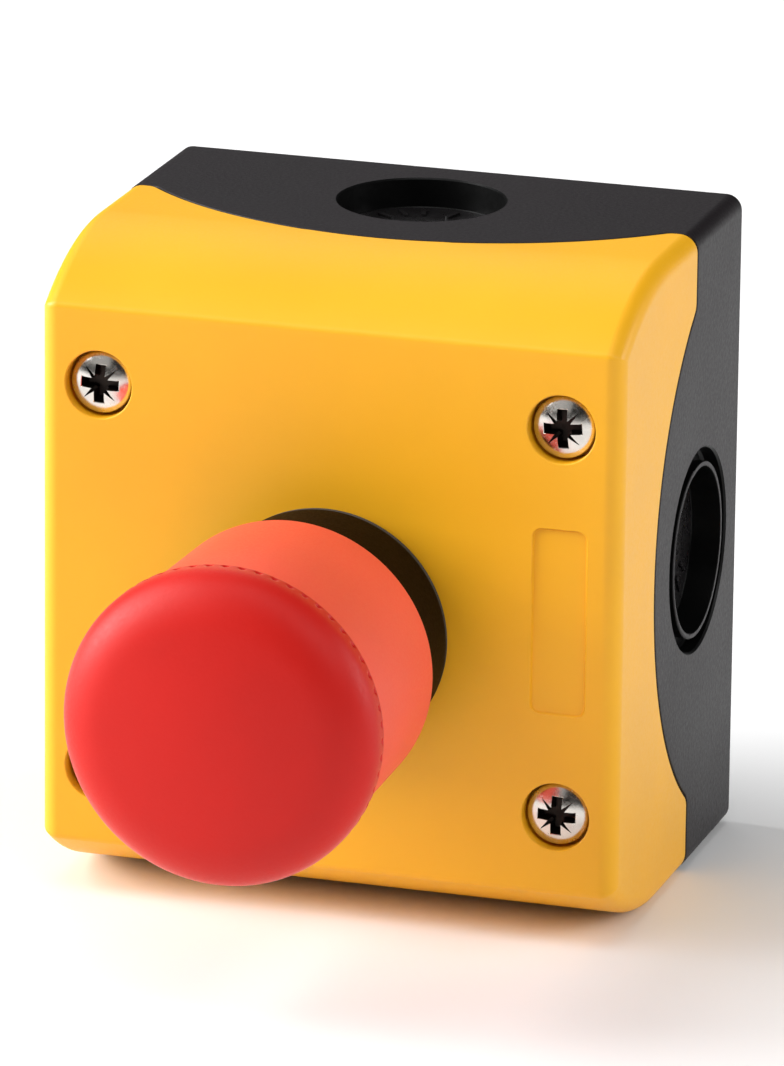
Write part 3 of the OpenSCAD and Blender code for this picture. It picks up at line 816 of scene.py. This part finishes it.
def make_screw(name, x, z, spin):
    """A domed screw with a cross recess and four tick marks between its arms."""
    seat = screw_top - screw_head_h
    length = seat - screw_end
    crown_r = 8.2
    rim_r = 0.55
    crown = arc((0, screw_head_h - crown_r), crown_r, 90, 68.5, 10)
    rim = arc((screw_head_r - rim_r, 1.35), rim_r, 55, 0, 4)
    head = crown + rim + [(screw_head_r, 0.3), (screw_head_r - 0.2, 0.05), (thread_r + 0.1, 0.0)]
    shank = [(thread_r, -0.2), (thread_r, -3.2)]
    for k in range(thread_turns):
        h = -3.5 - k
        shank += [(thread_r, h), (thread_r, h - 0.15), (thread_root_r, h - 0.5), (thread_root_r, h - 0.65)]
    shank += [(1.7, -length + 1.2), (1.2, -length), (0, -length)]
    screw = turned(name, head + shank, 0, 0, 0, 80)
    cutter = lofted("cross", [
        [place(u, h, v) for u, v in cross_outline(scale)]
        for h, scale in ((cross_floor, 0.78), (screw_head_h - 0.25, 1.0), (screw_head_h + 1, 1.05))
    ])
    # The cross recess and the tick grooves take the near-black steel: painted shade.
    cutter.data.materials.append(RECESS_SHADE_STEEL)
    wedge = [[(0.75, 0.34, 3.2), (0.75, -0.34, 3.2), (2.7, -0.04, 3.2), (2.7, 0.04, 3.2)],
             [(0.75, 0.24, 1.3), (0.75, -0.24, 1.3), (2.7, -0.02, 2.0), (2.7, 0.02, 2.0)]]
    ticks = []
    for angle in (45, 135, 225, 315):
        turn = Matrix.Rotation(-math.radians(angle), 4, "Y")
        tick = lofted("tick", [[turn @ place(u, h, v) for u, v, h in ring] for ring in wedge])
        tick.data.materials.append(RECESS_SHADE_STEEL)
        ticks.append(tick)
    screw.data.materials.append(MATERIALS["screw_steel"])
    carve(screw, cutter, *ticks)
    round_edges(screw, on_arm_end, 0.07, 1)
    spun = Matrix.Rotation(math.radians(spin), 4, "Y")
    screw.data.transform(Matrix.Translation(place(x, seat, z)) @ spun)
    return screw


# ---- Push button ----


def dome(inset, bend_steps, crown_steps):
    """Half-section of the cap's outside, drawn in by inset: a round bend that runs into a shallow crown."""
    w, h = cap_bend_w - inset, cap_bend_h - inset
    widest_h = cap_base_h + 1.8
    a = math.radians(cap_bend_end)
    x0 = cap_r - cap_bend_w + w * math.cos(a)
    y0 = widest_h + h * math.sin(a)
    rise = x0 * h / (2 * w * math.tan(a))
    bend = []
    for i in range(bend_steps + 1):
        t = a * i / bend_steps
        bend.append((cap_r - cap_bend_w + w * math.cos(t), widest_h + h * math.sin(t)))
    crown = []
    for i in range(crown_steps - 1, -1, -1):
        k = i / crown_steps
        crown.append((k * x0, y0 + rise * (1 - k * k)))
    return bend + crown


def make_cap():
    """The cap, with a ring of small grip dimples round its edge."""
    edge = [(cap_r - cap_edge_r + r, cap_base_h + cap_edge_r + h)
            for r, h in arc((0, 0), cap_edge_r, -90, 0, 5)]
    edge += [(cap_r, cap_base_h + cap_edge_r + 0.15 * i) for i in range(1, 9)]
    outer = edge + dome(0, 20, 16)
    inner = dome(cap_t, 10, 8)
    inner_edge = [(cap_r - cap_t - 0.8, cap_base_h)]
    section = outer + inner[::-1] + inner_edge
    cap = turned("cap", section, 0, button_z, case_d, grip_dimples * 10, loop=True)
    for v in cap.data.vertices:
        x, z = v.co.x, v.co.z - button_z
        h = -v.co.y - case_d
        r = math.hypot(x, z)
        if abs(h - dimple_h) > 1.2 or r < cap_r - 1.2:
            continue
        turn = math.atan2(z, x) * grip_dimples / (2 * math.pi)
        along = (turn - round(turn)) * 2 * math.pi * r / grip_dimples
        sunk = dimple_depth * math.exp(-(along**2 + (h - dimple_h) ** 2) / (2 * dimple_r**2))
        v.co.x = x * (r - sunk) / r
        v.co.z = button_z + z * (r - sunk) / r
    return cap


def make_skirt():
    """The skirt: a thin flaring wall with a rounded rim at its open end."""
    inner_r = skirt_rim_r - skirt_t
    outline = rounded(
        [(inner_r, skirt_rim_h), (skirt_rim_r, skirt_rim_h),
         (skirt_top_r, cap_base_h), (skirt_top_r - skirt_t, cap_base_h)],
        [0.45, 0.7, 0.12, 0.1], 5)
    return turned("skirt", outline, 0, button_z, case_d, 192, loop=True)


def make_collar():
    """The black collar that the skirt slides over."""
    inner = collar_r - 1.6
    floor = 5.0
    foot = 14.45
    outline = rounded([(foot, seal_h), (collar_r, seal_h), (collar_r, collar_top), (inner, collar_top),
                       (inner, floor), (11.5, floor), (11.5, 3.0), (foot, 3.0)],
                      [0.1, 0.25, 0.8, 0.3, 0.3, 0.2, 0.1, 0.1], 4)
    return turned("collar", outline, 0, button_z, case_d, 160, loop=True)


def make_panel_seal():
    """The rubber ring between the collar and the lid, bulging a little where it is squeezed."""
    inner = panel_hole_r + 0.05
    outline = rounded([(inner, 0.0), (seal_r, 0.0), (seal_r, seal_h), (inner, seal_h)],
                      [0.1, 0.35, 0.35, 0.1], 5)
    return turned("panel_seal_ring", outline, 0, button_z, case_d, 160, loop=True)


# ---- Springs ----


def make_spring(name, node, axis, wire_r, turns):
    """A compression spring with closed ends, in the space of its CAD node."""
    closed = 0.75
    low, high = node_box(node)
    middle = (low + high) / 2
    length = (high - low)[axis] - 2 * wire_r
    others = [i for i in range(3) if i != axis]
    coil_r = (high - low)[others[0]] / 2 - wire_r
    sides, per_turn = 10, 28
    total = turns + 2 * closed
    rings = []
    count = int(total * per_turn)
    for i in range(count + 1):
        turn = i / per_turn
        if turn < closed:
            rise = 2 * wire_r * turn * 0.98
        elif turn > total - closed:
            rise = length - 2 * wire_r * (total - turn) * 0.98
        else:
            spare = length - 4 * wire_r * closed * 0.98
            rise = 2 * wire_r * closed * 0.98 + spare * (turn - closed) / turns
        t = 2 * math.pi * turn
        ring = []
        for k in range(sides):
            b = 2 * math.pi * k / sides
            r = coil_r + wire_r * math.cos(b)
            point = [0, 0, 0]
            point[others[0]] = middle[others[0]] + r * math.cos(t)
            point[others[1]] = middle[others[1]] + r * math.sin(t)
            point[axis] = low[axis] + wire_r + rise + wire_r * math.sin(b)
            ring.append(Vector(point))
        rings.append(ring)
    return lofted(name, rings)


# ---- The object ----

finish_piece(make_base(), "station", "base_plastic", "enclosure_base", smooth=30, flat_faces=True)
finish_piece(make_lid(), "station", "lid_plastic", "lid", smooth=30, flat_faces=True)

screw_spins = {(-1, 1): 3, (1, 1): -3, (1, -1): 2, (-1, -1): 14}
for (side_x, side_z), spin in screw_spins.items():
    across = "left" if side_x < 0 else "right"
    level = "top" if side_z > 0 else "bottom"
    screw = make_screw(f"lid_screw_{level}_{across}", side_x * screw_x, side_z * screw_z, spin)
    finish_piece(screw, "station", "screw_steel", "lid_screws", smooth=35)

finish_piece(make_panel_seal(), "station", "gasket_rubber", "panel_seal")
finish_piece(make_collar(), "station", "operator_black", "front_collar")
finish_piece(make_cap(), "head", "cap_red", "mushroom_cap", smooth=50)
finish_piece(make_skirt(), "head", "skirt_red", "mushroom_skirt")

# Springs: name, CAD node, joint, axis, wire radius, turns, travel in metres, and the side of the fixed end
SPRINGS = [
    ("head_coil", "head_spring", "head_push", 1, 0.55, 6, 0.0045, 1),
    ("contact_coil_left", "contact_spring_left", "contact_left_push", 1, 0.28, 5, 0.0045, 1),
    ("contact_coil_right", "contact_spring_right", "contact_right_push", 1, 0.28, 5, 0.0045, 1),
    ("latch_coil_left", "latch_spring_left", "latch_left_slide", 0, 0.2, 3, 0.001, -1),
    ("latch_coil_right", "latch_spring_right", "latch_right_slide", 0, 0.2, 3, 0.001, 1),
]
for name, node, joint, axis, wire_r, turns, travel, fixed_side in SPRINGS:
    spring = make_spring(name, node, axis, wire_r, turns)
    finish_piece(spring, "station", "spring_steel", node)
    low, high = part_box(node)
    anchor = (low + high) / 2
    anchor[axis] = high[axis] if fixed_side > 0 else low[axis]
    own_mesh(spring)

node_slots = {row["node"]: row["material_slot"] for row in RECORD["subparts"]}
for node, cad in frame["nodes"].items():
    if not cad.hide_render:
        for socket in cad.material_slots:
            socket.material = MATERIALS[node_slots[node]]

# ---- Studio ----

light_distance = 2.4
light_w = 1.4


def floor_material():
    """Pale floor paint with faint clouds of tone."""
    made = Nodes("studio_floor")
    tone = made.spread(made.noise(9, 3.0), 0.93, 0.96)
    made.link(tone, made.shader.inputs["Base Color"])
    made.shader.inputs["Roughness"].default_value = 0.9
    made.shader.inputs["Specular IOR Level"].default_value = 0.1
    return made.material


def make_floor():
    """A wide pale floor, a hair below the object."""
    half_size = 4.0
    gap = 0.0002
    bm = bmesh.new()
    bmesh.ops.create_grid(bm, x_segments=8, y_segments=8, size=half_size)
    floor = new_object("studio_floor", bm)
    floor.location.z = cad_box[0].z - gap
    floor.data.materials.append(floor_material())


def outward(azimuth, elevation):
    """The direction, in degrees, from the object towards a lamp or the camera."""
    a, e = math.radians(azimuth), math.radians(elevation)
    return Vector((math.sin(a) * math.cos(e), -math.cos(a) * math.cos(e), math.sin(e)))


def soft_light(name, azimuth, elevation, height, power):
    """A rectangular softbox, its height in metres, that faces the object from a direction in degrees."""
    back = outward(azimuth, elevation)
    data = bpy.data.lights.new(name, "AREA")
    data.shape = "RECTANGLE"
    data.size = light_w
    data.size_y = height
    data.energy = power
    light = bpy.data.objects.new(name, data)
    bpy.context.scene.collection.objects.link(light)
    middle = (cad_box[0] + cad_box[1]) / 2
    light.location = middle + back * light_distance
    light.rotation_mode = "QUATERNION"
    light.rotation_quaternion = (-back).to_track_quat("-Z", "Y")


def make_world(strength):
    """A faint even white light from all round."""
    world = bpy.data.worlds.new("studio_world")
    world.use_nodes = True
    background = world.node_tree.nodes["Background"]
    background.inputs["Color"].default_value = (1, 1, 1, 1)
    background.inputs["Strength"].default_value = strength
    bpy.context.scene.world = world


def make_camera(azimuth, elevation, roll, distance, aim, field):
    """A long lens from the given direction; field is the height in millimetres seen at the aim point."""
    back = outward(azimuth, elevation)
    right = Vector((math.cos(math.radians(azimuth)), math.sin(math.radians(azimuth)), 0))
    up = back.cross(right)
    tilt = math.radians(roll)
    right, up = (right * math.cos(tilt) + up * math.sin(tilt), up * math.cos(tilt) - right * math.sin(tilt))
    data = bpy.data.cameras.new("camera")
    data.sensor_width = 36
    data.lens = data.sensor_width * distance / field
    data.clip_start, data.clip_end = 0.05, 20
    camera = bpy.data.objects.new("camera", data)
    bpy.context.scene.collection.objects.link(camera)
    camera.rotation_mode = "QUATERNION"
    camera.rotation_quaternion = Matrix((right, up, back)).transposed().to_quaternion()
    camera.location = (Vector(aim) + back * distance) * MM
    bpy.context.scene.camera = camera


make_floor()
make_world(0.03)

# Softboxes: name, azimuth, elevation, height, power in watts
SOFTBOXES = [
    ("left_low", -80, 15, 0.9, 56.9),
    ("left_high", -80, 40, 1.4, 28.4),
    ("key", -60, 35, 1.4, 19.9),
    ("front", -18, 30, 1.4, 2.8),
    ("top", 0, 75, 1.4, 14.2),
    ("right_high", 60, 40, 1.4, 14.2),
    ("right_side", 110, 15, 0.9, 22.7),
    ("back_left", -150, 40, 1.4, 5.7),
]
for softbox in SOFTBOXES:
    soft_light(*softbox)
make_camera(azimuth=17.24, elevation=16.94, roll=0.63, distance=1105.3, aim=(3.35, -36.9, 4.4), field=127.5)

scene = bpy.context.scene
scene.view_settings.view_transform = "Standard"
scene.view_settings.look = "None"
